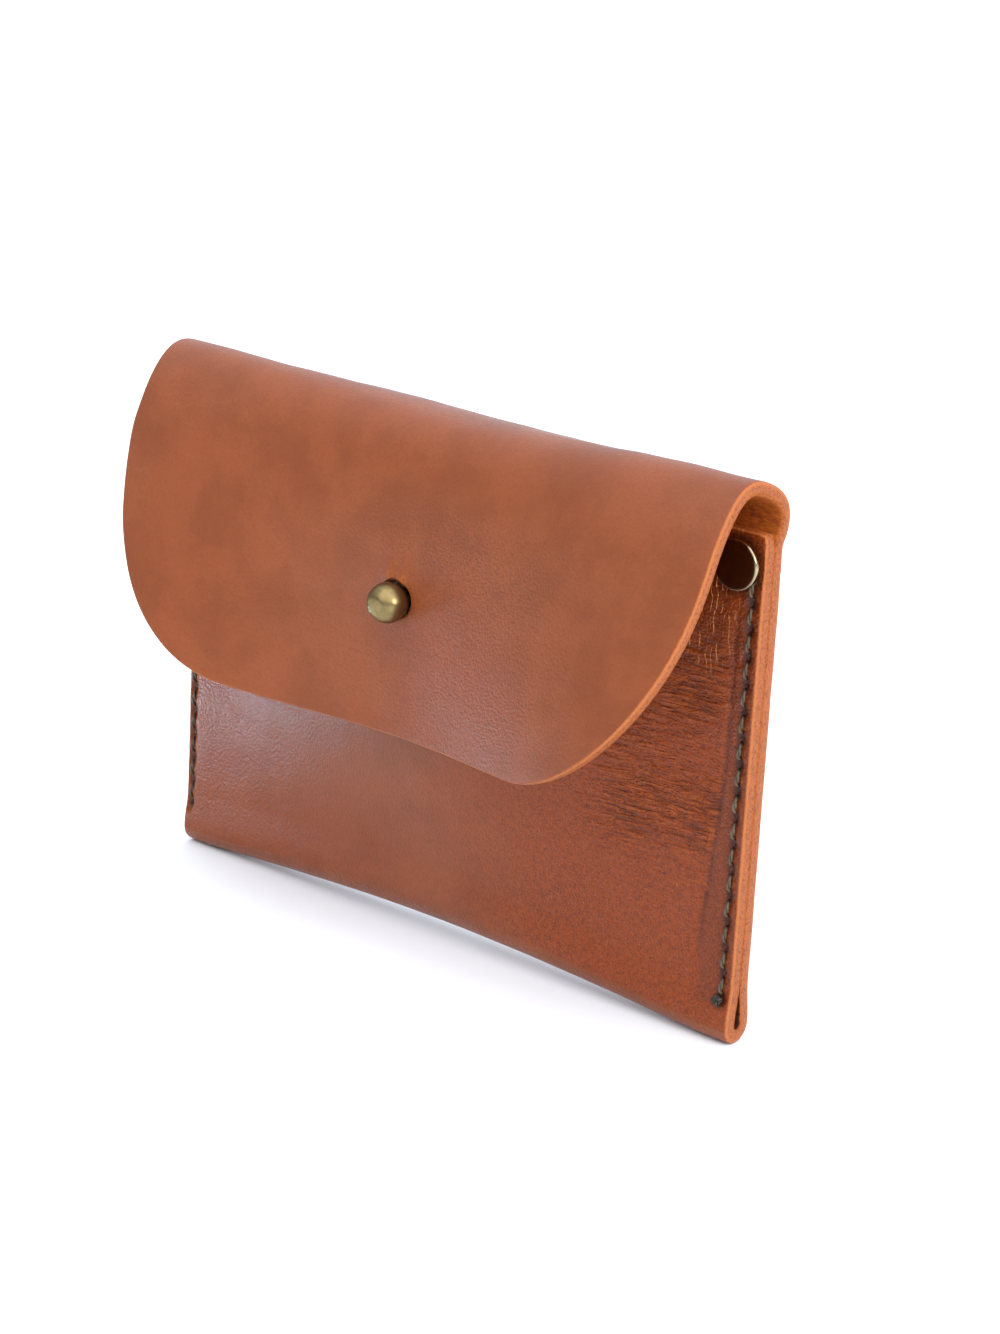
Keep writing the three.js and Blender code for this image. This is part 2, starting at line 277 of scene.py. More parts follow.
def crease_shape(side, z):
    """Distance out from the crease beside the seam, and the crease's own strength."""
    gap = side - (CREASE_X + CREASE_LEAN * smoothstep((z - 8) / 36))
    return gap, gauss(gap / CREASE_WIDTH) * smoothstep((z - 9) / 8) * smoothstep((62 - z) / 6)


def keyhole_relief(x, at):
    """Mouth of the keyhole: lips pushed out over the ball's top, with a slit between them."""
    dx, above = x - KEYHOLE_X, KEYHOLE_AT - at
    gap = np.hypot(dx, above)
    on_flap = (at > FLAP_FACE).astype(float)
    over = on_flap * (above > 0)
    upward = gauss(np.arctan2(dx, np.maximum(above, 1e-3)) / LIP_SPREAD)
    lip = over * upward * np.exp(-np.clip(gap - KEYHOLE_RADIUS, 0, None) / LIP_REACH)
    slit_ridges = sum(gauss((dx + way * SLIT_RIDGE_X) / SLIT_RIDGE_WIDTH) for way in (-1, 1))
    height = LIP_HEIGHT * lip
    height += SLIT_RIDGE_HEIGHT * over * slit_ridges * smoothstep((SLIT_LENGTH + 0.5 - above) / 2.5)
    height -= SLIT_DEPTH * over * gauss(dx / SLIT_WIDTH) * smoothstep((SLIT_LENGTH - above) / 2.5)
    height += COLLAR_HEIGHT * on_flap * gauss((gap - KEYHOLE_RADIUS) / COLLAR_WIDTH)
    worn = np.clip(lip * 2.2, 0, 1) * gauss((np.abs(dx) - 1.3) / 0.55)
    return height, worn * smoothstep((KEYHOLE_RADIUS + 1.0 - gap) / 0.6)


def relief(x, q):
    """Height of the grain face above the plain sheet, with the masks that the material reads."""
    z = spine(x, q)[1]
    v = along(x, q)
    at = q - 3
    on_front, on_back, on_flap = q <= 1.02, (q > 1.9) & (q <= 3.02), at > 24
    panel = (on_front | on_back).astype(float)
    right_front = on_front * (LEFT_SHARE + (1 - LEFT_SHARE) * (x > 0))
    side = np.abs(x)
    height = BROAD_HEIGHT * broad(x, v) * np.clip((HALF_WIDTH - side) / 6, 0, 1) + LUMP_HEIGHT * lumps(x, v)
    # The thread pulls a shallow trench and a pit at each hole
    in_seam = panel * ((z > STITCH_BOTTOM - 1) & (z < RIVET_HEIGHT - 1))
    from_line = side - np.where(x < 0, STITCH_X_LEFT, STITCH_X)
    hole_gap = np.min(np.hypot(from_line[..., None], 0.7 * (z[..., None] - HOLE_HEIGHTS)), -1)
    height -= in_seam * TRENCH_DEPTH * gauss(from_line / TRENCH_WIDTH)
    height -= panel * HOLE_DEPTH * gauss(hole_gap / HOLE_WIDTH)
    # Crease where the sewn sides end and the pocket swells, strongest on the front
    crease_gap, crease = crease_shape(side, z)
    height -= CREASE_DEPTH * right_front * crease
    height += RIDGE_HEIGHT * right_front * gauss((crease_gap + 1.2) / RIDGE_WIDTH)
    # Rivet caps press the leather in
    rivet_gap = np.hypot(side - RIVET_X, z - RIVET_HEIGHT)
    height -= panel * PRESS_DEPTH * gauss((rivet_gap - PRESS_RADIUS) / PRESS_WIDTH)
    # Compression ripples across the front panel near its sewn sides, and short pleats below the rivets
    near_side = smoothstep((side - 22) / 14) * smoothstep((0.6 - crease_gap) / 1.5)
    ripple_mask = right_front * near_side * smoothstep((60 - z) / 8) * smoothstep((z - 14) / 18)
    ripple_mask = ripple_mask * np.clip(0.85 + 0.30 * ripple_patches(x, v), 0.3, 1.2)
    pleat_mask = right_front * gauss((side - 44.6) / 3.4)
    pleat_mask = pleat_mask * smoothstep((z - 49) / 8) * smoothstep((70 - z) / 3)
    height += RIPPLE_HEIGHT * (ripple_mask * ripples(x, v) + pleat_mask * pleats(x, v))
    keyhole_height, worn_lip = keyhole_relief(x, at)
    height += keyhole_height
    # The bottom fold stays smooth where it nears the floor
    height *= 1 - 0.9 * gauss((q - 1.5) / 0.45) * (z < 3)
    # Painted shade in and round the stitch holes, just outside the rivet caps and along the crease beside the
    # seam; the pleats below the rivets and the sewn band outside the crease are darkened too
    painted_shade_and_darkening = (panel * (1.15 * gauss(hole_gap / HOLE_SHADE_WIDTH) + 0.55 * gauss((rivet_gap - 3.6) / 0.9))
              + 0.38 * pleat_mask + right_front * (0.60 * crease + 0.30 * in_seam * smoothstep(crease_gap)))
    front_grain = on_front * (0.45 + 0.75 * smoothstep((x - 2) / 22))
    strip_grain = (q > 1.02) * (0.25 + 0.35 * smoothstep(1 - at / 8))
    masks = {
        "dark": np.clip(painted_shade_and_darkening, 0, 1),
        "crack": np.clip(pleat_mask * 1.3, 0, 1),
        "wrinkle": np.clip(ripple_mask, 0, 1.2),
        "polished": on_front * (1 - smoothstep((x + 42) / 20)),
        # Rich: partly dye, partly painted light, more saturated where less reflected haze falls; strongest on
        # the front's right side and low on the flap
        "rich": (on_front * smoothstep((side + 6) / 34) * (0.75 + 0.25 * np.sign(x))
                 + on_flap * 0.5 * gauss((x - 14) / 16) * smoothstep((at - 36) / 20)),
        "pebbled": np.clip(front_grain + strip_grain
                           + on_flap * 0.5 * gauss((x - 14) / 17) * smoothstep((at - 30) / 12), 0.25, 1.3),
        "lip": worn_lip,
    }
    return height, masks


# -------- grid of the sheet's two faces
RIM = 0.9  # the fine rings along a cut edge start this far in
RING_INSETS = (0.45, 0.30, 0.17, 0.07, 0.0)
HOLE_RIM = 0.4  # the same round the keyhole
HOLE_INSETS = (0.28, 0.18, 0.09, 0.0)
EDGE_ROUND = 0.42  # radius of the cut edge's corners
SEWN_ROUND = 0.06  # the same on the flesh side of the pocket, where two layers meet
INNER_HALF = HALF_WIDTH - RIM
SIDE_BAND = 46.6  # the grid is finer outside this
FRONT_ROWS, FOOT_ROWS, BACK_ROWS, FOLD_ROWS, FLAP_TOP_ROWS, CORNER_ROWS = 150, 18, 84, 15, 14, 66
HOLE_COLS, HOLE_ROWS = 4, 6  # grid steps from the keyhole's middle to its edge
HOLE_REACH = 3.5  # the rings round the keyhole fade out at this many radii
# Boundaries between the sheet's five stretches, each in a plane square to the strip's mean direction
BOUNDARY_AT = (7.5, 13.5, 19.5, 25.5)

columns = np.concatenate([
    np.linspace(-INNER_HALF, -SIDE_BAND, 15), np.linspace(-SIDE_BAND, SIDE_BAND, 125)[1:-1],
    np.linspace(SIDE_BAND, INNER_HALF, 15)])


def inner_half_width(at):
    into = np.clip((at - (STRIP_LENGTH - CORNER_LENGTH)) / (CORNER_LENGTH - RIM), 0, 1)
    return HALF_WIDTH - CORNER_WIDTH + (CORNER_WIDTH - RIM) * np.sqrt(1 - into ** 2)


def boundary_lengths(middle_at):
    """At each column, the length along the strip that lies in one plane with the middle of the piece."""
    half = LEATHER / 2
    probe = np.array([0.0, HALF_WIDTH * 0.7])
    forward, height, out_f, out_z = spine(probe, np.full(2, 3 + middle_at))
    direction = np.array([out_z.mean(), -out_f.mean()])
    direction /= np.linalg.norm(direction)
    level = ((forward - half * out_f) * direction[0] + (height - half * out_z) * direction[1]).mean()
    lengths = np.full(len(columns), float(middle_at))
    for _ in range(12):
        forward, height, out_f, out_z = spine(columns, 3 + lengths)
        miss = (forward - half * out_f) * direction[0] + (height - half * out_z) * direction[1] - level
        lengths = np.clip(lengths - miss * 0.8, middle_at - 2.0, middle_at + 2.0)
    return lengths


rows_x, rows_q, marks = [columns], [RIM / (PANEL_TOP - pocket_foot(columns))], []


def add_rows(q_to, count):
    """Rows from the last one to a line across the sheet."""
    q_from = rows_q[-1]
    for i in range(1, count + 1):
        rows_q.append(q_from + (q_to - q_from) * i / count)
        rows_x.append(columns)


for q_to, count in ((1, FRONT_ROWS), (2, FOOT_ROWS), (3, BACK_ROWS)):
    add_rows(q_to, count)
for at in BOUNDARY_AT:
    add_rows(3 + boundary_lengths(at), FOLD_ROWS)
    marks.append(len(rows_q) - 1)
corner_start = STRIP_LENGTH - CORNER_LENGTH
add_rows(3 + corner_start, FLAP_TOP_ROWS)
for i in range(1, CORNER_ROWS + 1):
    corner_at = corner_start + (CORNER_LENGTH - RIM) * math.sin(math.pi / 2 * i / CORNER_ROWS)
    rows_q.append(np.full(len(columns), 3 + corner_at))
    rows_x.append(columns / INNER_HALF * inner_half_width(corner_at))
X, Q = np.array(rows_x), np.array(rows_q)
ROWS, COLS = X.shape

# Pull the grid round the keyhole into rings
hole_col = int(np.argmin(np.abs(X[marks[3] + 40] - KEYHOLE_X)))
hole_row = int(np.argmin(np.abs(Q[:, hole_col] - 3 - KEYHOLE_AT)))
row_ids, col_ids = np.meshgrid(np.arange(ROWS), np.arange(COLS), indexing="ij")
steps_x, steps_q = (col_ids - hole_col) / HOLE_COLS, (row_ids - hole_row) / HOLE_ROWS
square_ring = np.maximum(np.abs(steps_x), np.abs(steps_q))
to_round = KEYHOLE_RADIUS * square_ring / np.maximum(np.hypot(steps_x, steps_q), 1e-9)
plain = smoothstep((square_ring - 1) / 2.4)
near_hole = square_ring < HOLE_REACH
X = np.where(near_hole, (KEYHOLE_X + to_round * steps_x) * (1 - plain) + X * plain, X)
Q = np.where(near_hole, (3 + KEYHOLE_AT + to_round * steps_q) * (1 - plain) + Q * plain, Q)


# -------- the sheet's mesh
class Sheet:
    """Vertices of the whole sheet with their masks, and its faces with the row each one is in."""

    def __init__(self):
        self.points, self.flat, self.rows, self.faces, self.face_rows = [], [], [], [], []
        self.masks = {name: [] for name in ("edge", "flesh", *RELIEF_MASKS)}
        self.count = 0

    def emit(self, x, q, depth, side, edge, row):
        """Adds vertices at a depth under the grain or flesh face, or on the cut edge between them."""
        forward, z, out_f, out_z = spine(x, q)
        if side == "flesh":
            offset = depth - LEATHER + np.zeros_like(x)
            masks = {name: np.zeros_like(x) for name in RELIEF_MASKS}
            # Painted shade on the flesh side round the bottom fold, inside the pocket
            masks["dark"] = 0.9 * (smoothstep((q - 0.86) / 0.06) * smoothstep((2.14 - q) / 0.06))
        else:
            height, masks = relief(x, q)
            share = np.clip(1 - depth / LEATHER, 0, 1) if side == "cut" else 1.0
            offset = height * share - depth
        self.points.append(to_world(x, forward + offset * out_f, z + offset * out_z).reshape(-1, 3))
        self.flat.append(np.stack([x, along(x, q), offset], -1).reshape(-1, 3))
        for name in RELIEF_MASKS:
            self.masks[name].append(masks[name].ravel())
        self.masks["edge"].append(np.full(x.size, float(edge)))
        self.masks["flesh"].append(np.full(x.size, float(side == "flesh")))
        self.rows.append(row.ravel())
        ids = np.arange(self.count, self.count + x.size).reshape(x.shape)
        self.count += x.size
        return ids

    def quads(self, a, b, c, d, rows):
        self.faces.append(np.stack([a, b, c, d], -1).reshape(-1, 4))
        self.face_rows.append(rows.ravel())

    def joined(self):
        """Replaces the lists with whole arrays."""
        for key in ("points", "flat", "rows", "faces", "face_rows"):
            setattr(self, key, np.concatenate(getattr(self, key)))
        self.masks = {name: np.concatenate(parts) for name, parts in self.masks.items()}


sheet = Sheet()
grain_ids = sheet.emit(X, Q, 0.0, "grain", 0.0, row_ids)
flesh_ids = sheet.emit(X, Q, 0.0, "flesh", 0.0, row_ids)


def corners(grid):
    """The grid's values at each cell's four corners, in order round the cell."""
    return grid[:-1, :-1], grid[:-1, 1:], grid[1:, 1:], grid[1:, :-1]


in_hole = np.logical_and.reduce([corner < 1 + 1e-6 for corner in corners(square_ring)])
cell_rows = row_ids[:-1, :-1][~in_hole]
sheet.quads(*[corner[~in_hole] for corner in corners(grain_ids)], cell_rows)
first, *others = [corner[~in_hole] for corner in corners(flesh_ids)]
sheet.quads(first, *others[::-1], cell_rows)


def bevel_drop(distance, radius):
    """How far a face has dropped at a distance in from a rounded cut edge."""
    d = np.clip(distance, 0, radius)
    return radius - np.sqrt(np.maximum(radius ** 2 - (radius - d) ** 2, 0))


def close_edge(loop_i, loop_j, out_x, out_v, insets, reach):
    """Rings from a closed border loop of the grid out to the cut edge and back in on the flesh side."""
    base_x, base_q = X[loop_i, loop_j], Q[loop_i, loop_j]
    rows = row_ids[loop_i, loop_j]
    per_mm = np.where(base_q <= 1, 1 / (PANEL_TOP - pocket_foot(base_x)), 1.0)
    sewn = (base_q < 3 + 2) & (base_q > 0.02)
    round_flesh = np.where(sewn, SEWN_ROUND, EDGE_ROUND)

    def ring(step, depth, side, edge):
        return sheet.emit(base_x + out_x * step, base_q + out_v * step * per_mm, depth, side, edge, rows)

    rings = [grain_ids[loop_i, loop_j]]
    for inset in insets:
        edge = np.clip((0.26 - inset) / 0.12, 0, 1)
        rings.append(ring(reach - inset, bevel_drop(inset, EDGE_ROUND), "grain", edge))
    for share in (0.25, 0.5, 0.75):
        depth = EDGE_ROUND + (LEATHER - EDGE_ROUND - round_flesh) * share
        rings.append(ring(reach + 0.05 * math.sin(math.pi * share), depth, "cut", 1.0))
    for inset in reversed(insets):
        edge = np.clip((0.22 - inset) / 0.12, 0, 1)
        rings.append(ring(reach - inset, bevel_drop(inset, round_flesh), "flesh", edge))
    rings.append(flesh_ids[loop_i, loop_j])
    for inner, outer in zip(rings, rings[1:]):
        sheet.quads(inner, np.roll(inner, -1), np.roll(outer, -1), outer, np.minimum(rows, np.roll(rows, -1)))


def outline():
    """The grid's border, anticlockwise as seen from the grain side."""
    down = np.arange(ROWS)
    loop_i = np.concatenate([down, np.full(COLS - 2, ROWS - 1), down[::-1], np.zeros(COLS - 2, int)])
    loop_j = np.concatenate([np.zeros(ROWS, int), np.arange(1, COLS - 1), np.full(ROWS, COLS - 1),
                             np.arange(COLS - 2, 0, -1)])
    x, q = X[loop_i, loop_j], Q[loop_i, loop_j]
    v = along(x, q)
    tangent_x, tangent_v = np.roll(x, -1) - np.roll(x, 1), np.roll(v, -1) - np.roll(v, 1)
    length = np.maximum(np.hypot(tangent_x, tangent_v), 1e-9)
    left, right = loop_j == 0, loop_j == COLS - 1
    straight = (loop_i < marks[3] + 10) & (left | right) & (loop_i > 0)
    top = loop_i == 0
    corner = 0.75
    out_x = np.where(straight, np.sign(x), -tangent_v / length)
    out_x = np.where(top, corner * right - corner * left, out_x)
    out_v = np.where(straight, 0, tangent_x / length)
    out_v = np.where(top, np.where(left | right, -corner, -1), out_v)
    return loop_i, loop_j, out_x, out_v


def keyhole_outline():
    top, bottom = hole_row - HOLE_ROWS, hole_row + HOLE_ROWS
    left, right = hole_col - HOLE_COLS, hole_col + HOLE_COLS
    loop = ([(top, j) for j in range(left, right)] + [(i, right) for i in range(top, bottom)]
            + [(bottom, j) for j in range(right, left, -1)] + [(i, left) for i in range(bottom, top, -1)])
    loop_i, loop_j = np.array(loop).T
    from_x, from_v = X[loop_i, loop_j] - KEYHOLE_X, Q[loop_i, loop_j] - 3 - KEYHOLE_AT
    radius = np.hypot(from_x, from_v)
    return loop_i, loop_j, -from_x / radius, -from_v / radius


close_edge(*outline(), RING_INSETS, RIM)
close_edge(*keyhole_outline(), HOLE_INSETS, HOLE_RIM)
sheet.joined()

# The grain face's normals point outwards: forwards, towards -Y, on the front panel
a, b, c = (sheet.points[sheet.faces[0, k]] for k in range(3))
if np.cross(b - a, c - a)[1] > 0:
    sheet.faces = sheet.faces[:, ::-1]
face_corners = sheet.points[sheet.faces]
face_normals = np.cross(face_corners[:, 2] - face_corners[:, 0], face_corners[:, 3] - face_corners[:, 1])
vertex_normals = np.zeros_like(sheet.points)
for k in range(4):
    np.add.at(vertex_normals, sheet.faces[:, k], face_normals)
vertex_normals /= np.maximum(np.linalg.norm(vertex_normals, axis=1, keepdims=True), 1e-12)


# -------- helpers for objects and nodes
def new_object(name, verts, polys):
    mesh = bpy.data.meshes.new(name)
    mesh.from_pydata([tuple(v) for v in verts], [], [tuple(int(i) for i in poly) for poly in polys])
    mesh.polygons.foreach_set("use_smooth", np.full(len(mesh.polygons), True))
    mesh.update()
    obj = bpy.data.objects.new(name, mesh)
    bpy.context.scene.collection.objects.link(obj)
    return obj


def outward_faces(mesh):
    bm = bmesh.new()
    bm.from_mesh(mesh)
    bmesh.ops.recalc_face_normals(bm, faces=bm.faces)
    bm.to_mesh(mesh)
    bm.free()
    mesh.update()


def put_attribute(mesh, name, values):
    values = np.asarray(values, np.float32)
    kind, key = ("FLOAT", "value") if values.ndim == 1 else ("FLOAT_VECTOR", "vector")
    mesh.attributes.new(name, kind, "POINT").data.foreach_set(key, values.ravel())


def skin(name, row_from, row_to):
    """The stretch of the sheet between two rows, as an object of its own."""
    chosen = sheet.faces[(sheet.face_rows >= row_from) & (sheet.face_rows < row_to)]
    used, local = np.unique(chosen, return_inverse=True)
    obj = new_object(name, sheet.points[used], local.reshape(-1, 4))
    for mask, values in {"flat": sheet.flat, **sheet.masks}.items():
        put_attribute(obj.data, mask, values[used])
    obj.data.normals_split_custom_set_from_vertices([tuple(n) for n in vertex_normals[used]])
    return obj, used


class Nodes:
    """Short way of writing a material's node tree."""

    def __init__(self, name):
        self.material = bpy.data.materials.new(name)
        self.material.use_nodes = True
        self.tree = self.material.node_tree
        self.tree.nodes.clear()
        self.output = self.tree.nodes.new("ShaderNodeOutputMaterial")
        self.shader = self.tree.nodes.new("ShaderNodeBsdfPrincipled")
        self.link(self.shader.outputs[0], self.output.inputs[0])

    def link(self, a, b):
        self.tree.links.new(a, b)

    def plug(self, value, socket):
        if isinstance(value, bpy.types.NodeSocket):
            self.link(value, socket)
        else:
            socket.default_value = (*value, 1.0) if socket.type == "RGBA" else value

    def add(self, kind, output, **inputs):
        """New node with these inputs linked or set; its named output."""
        n = self.tree.nodes.new("ShaderNode" + kind)
        for key, value in inputs.items():
            self.plug(value, n.inputs[key])
        return n.outputs[output]

    def attribute(self, name, vector=False):
        n = self.tree.nodes.new("ShaderNodeAttribute")
        n.attribute_name = name
        return n.outputs["Vector" if vector else "Fac"]

    def object_place(self):
        return self.add("TexCoord", "Object")

    def math(self, kind, a, b=0.0, c=0.0, clamp=False):
        n = self.tree.nodes.new("ShaderNodeMath")
        n.operation = kind
        n.use_clamp = clamp
        for k, value in enumerate((a, b, c)):
            self.plug(value, n.inputs[k])
        return n.outputs[0]

    def times(self, a, b, clamp=False):
        return self.math("MULTIPLY", a, b, clamp=clamp)

    def part(self, vector, axis):
        return self.add("SeparateXYZ", axis, Vector=vector)

    def scaled(self, vector, scale):
        return self.add("Mapping", "Vector", Vector=vector, Scale=scale)

    def noise(self, vector, scale, detail=3.0, roughness=0.55, distortion=0.0):
        return self.add("TexNoise", "Fac", Vector=vector, Scale=scale, Detail=detail, Roughness=roughness,
                        Distortion=distortion)

    def cells(self, vector, scale):
        return self.add("TexVoronoi", "Distance", Vector=vector, Scale=scale)

    def ramp(self, fac, low, high, to_low=0.0, to_high=1.0):
        n = self.tree.nodes.new("ShaderNodeMapRange")
        n.interpolation_type = "SMOOTHSTEP"
        self.plug(fac, n.inputs["Value"])
        for key, value in (("From Min", low), ("From Max", high), ("To Min", to_low), ("To Max", to_high)):
            n.inputs[key].default_value = value
        return n.outputs["Result"]

    def mix(self, fac, a, b):
        n = self.tree.nodes.new("ShaderNodeMix")
        n.data_type = "RGBA"
        self.plug(fac, n.inputs["Factor"])
        for value, key in ((a, "A"), (b, "B")):
            socket = [s for s in n.inputs if s.name == key and s.type == "RGBA"][0]
            self.plug(value, socket)
        return [s for s in n.outputs if s.type == "RGBA"][0]

    def bump(self, height, distance, after=None, strength=1.0):
        before = {} if after is None else {"Normal": after}
        return self.add("Bump", "Normal", Height=height, Distance=distance, Strength=strength, **before)

    def done(self, color, roughness, normal=None, **fixed):
        self.plug(color, self.shader.inputs["Base Color"])
        self.plug(roughness, self.shader.inputs["Roughness"])
        if normal is not None:
            self.link(normal, self.shader.inputs["Normal"])
        for key, value in fixed.items():
            self.shader.inputs[key.replace("_", " ")].default_value = value
        return self.material


# -------- leather
GRAIN_WARM = (0.252, 0.064, 0.020)
GRAIN_DEEP = (0.203, 0.050, 0.016)
# The rich colours are partly dye, partly painted to stand in for less reflected haze
GRAIN_RICH = (0.262, 0.045, 0.005)
GRAIN_RICH_DEEP = (0.190, 0.031, 0.004)
GRAIN_SHADE = (0.035, 0.010, 0.006)
EDGE_ORANGE = (0.385, 0.098, 0.018)
EDGE_BROWN = (0.180, 0.038, 0.008)
# Painted highlight on the cut edge's rounded bevels
EDGE_BEVEL_HIGHLIGHT = (0.455, 0.135, 0.032)
FLESH_GOLD = (0.520, 0.130, 0.012)
FLESH_DARK = (0.230, 0.045, 0.005)
CRACK_LIGHT = (0.760, 0.320, 0.110)
# Painted highlight for ripple crests and glints
PAINTED_GLINT = (0.420, 0.092, 0.014)
PEBBLE_HEIGHT, PORE_DEPTH, RIPPLE_BUMP, FLESH_NAP, EDGE_FIBRE = 0.11, 0.022, 0.75, 0.15, 0.10


def stretch_marks(n, flat):
    """Thin pale lines that wander down the panel under the rivets, 1 for the mark."""
    wander = n.noise(n.scaled(flat, (0.35, 0.13, 1.0)), 1.0, 3.0, 0.5)
    lines = n.math("PINGPONG", n.math("MULTIPLY_ADD", wander, 4.0, n.part(flat, "X")), 0.48)
    thin = n.ramp(lines, 0.02, 0.10, 1.0, 0.0)
    broken = n.ramp(n.noise(n.scaled(flat, (1.6, 0.34, 1.0)), 1.0, 2.0), 0.47, 0.56)
    return n.times(n.times(thin, broken), n.attribute("crack"))


def grain_color(n, flat, mottle, ripple):
    """Cloudy dye, with painted shade and darker dye in the ripples' valleys and between the pebbles, and
    painted highlights on the ripples' crests and as glints on the richer parts.
    """
    cloudy = n.noise(flat, 0.09, 4.0, 0.6)
    color = n.mix(n.ramp(cloudy, 0.35, 0.68), GRAIN_WARM, GRAIN_DEEP)
    color = n.mix(n.ramp(mottle, 0.35, 0.75, 0.0, 0.35), color, GRAIN_DEEP)
    # Richer colour, partly dye and partly painted in place of the reflected haze that falls less on these
    # parts
    rich = n.mix(n.ramp(mottle, 0.35, 0.75), GRAIN_RICH, GRAIN_RICH_DEEP)
    color = n.mix(n.attribute("rich"), color, rich)
    # Painted shade in the stitch holes, round the rivet caps and in the crease, with the darker pleats and
    # sewn band
    color = n.mix(n.times(n.attribute("dark"), 0.95, clamp=True), color, GRAIN_SHADE)
    color = n.mix(stretch_marks(n, flat), color, CRACK_LIGHT)
    glint_noise, between = n.noise(flat, 2.6, 2.0, 0.5), n.noise(flat, 3.2, 2.0, 0.6)
    # Painted shade in ripple valleys and pebble hollows; painted highlights on ripple crests and as glints
    for where, mask, amount, tint in (
            (n.ramp(ripple, 0.49, 0.38), "wrinkle", 0.44, GRAIN_SHADE),
            (n.ramp(ripple, 0.50, 0.64), "wrinkle", 0.45, PAINTED_GLINT),
            (n.ramp(glint_noise, 0.56, 0.70), "rich", 0.45, PAINTED_GLINT),
            (n.ramp(between, 0.50, 0.34), "pebbled", 0.42, GRAIN_SHADE)):
        color = n.mix(n.times(n.times(where, n.attribute(mask)), amount, clamp=True), color, tint)
    return color


def cut_edge_color(n, flat, fibre):
    """Burnished fibres, with a painted highlight on the bevel at both corners."""
    depth = n.part(flat, "Z")
    bevel = n.times(n.ramp(depth, -0.62, -0.38), n.ramp(depth, -0.05, -0.16))
    color = n.mix(n.ramp(fibre, 0.42, 0.68), EDGE_ORANGE, EDGE_BROWN)
    # Painted highlight on both bevels
    return n.mix(n.times(bevel, 0.70), color, EDGE_BEVEL_HIGHLIGHT)


def make_leather():
    n = Nodes("cognac_leather")
    flat = n.attribute("flat", vector=True)
    edge, flesh = n.attribute("edge"), n.attribute("flesh")
    mottle = n.noise(flat, 1.3, 3.0, 0.6)
    ripple = n.noise(n.scaled(flat, (0.24, 1.65, 1.0)), 1.0, 3.0, 0.6, 0.7)
    fibre = n.noise(n.scaled(flat, (2.6, 2.6, 4.2)), 1.0, 4.0, 0.68)
    nap = n.noise(n.scaled(flat, (1.0, 2.2, 1.0)), 0.8, 5.0, 0.7, 1.0)
    edge_color = cut_edge_color(n, flat, fibre)
    color = n.mix(n.attribute("lip"), grain_color(n, flat, mottle, ripple), edge_color)
    flesh_color = n.mix(n.ramp(nap, 0.32, 0.66), FLESH_DARK, FLESH_GOLD)
    # Painted shade on the flesh inside the bottom fold
    flesh_color = n.mix(n.attribute("dark"), flesh_color, GRAIN_SHADE)
    color = n.mix(edge, n.mix(flesh, color, flesh_color), edge_color)
    roughness = n.ramp(mottle, 0.3, 0.8, 0.30, 0.39)
    for mask, change in ((n.attribute("polished"), -0.13), (flesh, 0.35), (edge, 0.14)):
        roughness = n.math("MULTIPLY_ADD", mask, change, roughness)
    # Grain: rounded pebbles and fine pores, with finer ripples on the compressed parts
    pebbles = n.times(n.times(n.cells(flat, 2.5), n.attribute("pebbled")), -1.0)
    waves = n.times(n.math("SUBTRACT", ripple, 0.5), n.attribute("wrinkle"))
    normal = n.bump(pebbles, PEBBLE_HEIGHT * MM)
    normal = n.bump(n.noise(flat, 5.0, 3.0, 0.6), PORE_DEPTH * MM, normal)
    normal = n.bump(waves, RIPPLE_BUMP * MM, normal)
    normal = n.bump(n.times(nap, flesh), FLESH_NAP * MM, normal)
    normal = n.bump(n.times(fibre, edge), EDGE_FIBRE * MM, normal)
    return n.done(color, roughness, normal, IOR=1.46, Specular_IOR_Level=0.30)


# -------- brass and thread
BALL_BRASS = (0.27, 0.195, 0.085)
BALL_PATINA = (0.18, 0.128, 0.052)
RIVET_BRASS = (0.15, 0.10, 0.06)
RIVET_PATINA = (0.10, 0.065, 0.04)
BARE_BRASS = (0.42, 0.34, 0.21)
THREAD_BROWN = (0.100, 0.064, 0.032)
THREAD_DARK = (0.052, 0.034, 0.018)
THREAD_WORN = (0.15, 0.11, 0.065)
# Painted shade for the thread inside the stitch holes
THREAD_HOLE_SHADE = (0.004, 0.003, 0.002)


def make_brass(name, base, shade, rough_low, rough_high):
    n = Nodes(name)
    place = n.object_place()
    patina = n.noise(place, 420.0, 4.0, 0.6)
    fine = n.noise(place, 2600.0, 3.0, 0.6)
    color = n.mix(n.ramp(patina, 0.35, 0.7), base, shade)
    color = n.mix(n.attribute("bare"), color, BARE_BRASS)
    roughness = n.ramp(patina, 0.3, 0.75, rough_low, rough_high)
    normal = n.bump(patina, 0.012 * MM, n.bump(fine, 0.012 * MM), 0.6)
    return n.done(color, roughness, normal, Metallic=1.0)


def make_thread():
    n = Nodes("waxed_thread")
    place = n.object_place()
    fibre = n.noise(place, 3200.0, 3.0, 0.6)
    wear = n.noise(place, 500.0, 2.0, 0.5)
    color = n.mix(n.ramp(fibre, 0.35, 0.7), THREAD_BROWN, THREAD_DARK)
    color = n.mix(n.ramp(wear, 0.5, 0.75, 0.0, 0.5), color, THREAD_WORN)
    # Painted shade where the thread dives into its holes; the knot is darkened throughout
    color = n.mix(n.attribute("sunk"), color, THREAD_HOLE_SHADE)
    return n.done(color, 0.5, n.bump(fibre, 0.03 * MM))


leather = make_leather()
ball_brass = make_brass("aged_brass_ball", BALL_BRASS, BALL_PATINA, 0.28, 0.40)
rivet_brass = make_brass("aged_brass_rivet", RIVET_BRASS, RIVET_PATINA, 0.18, 0.28)
thread_material = make_thread()

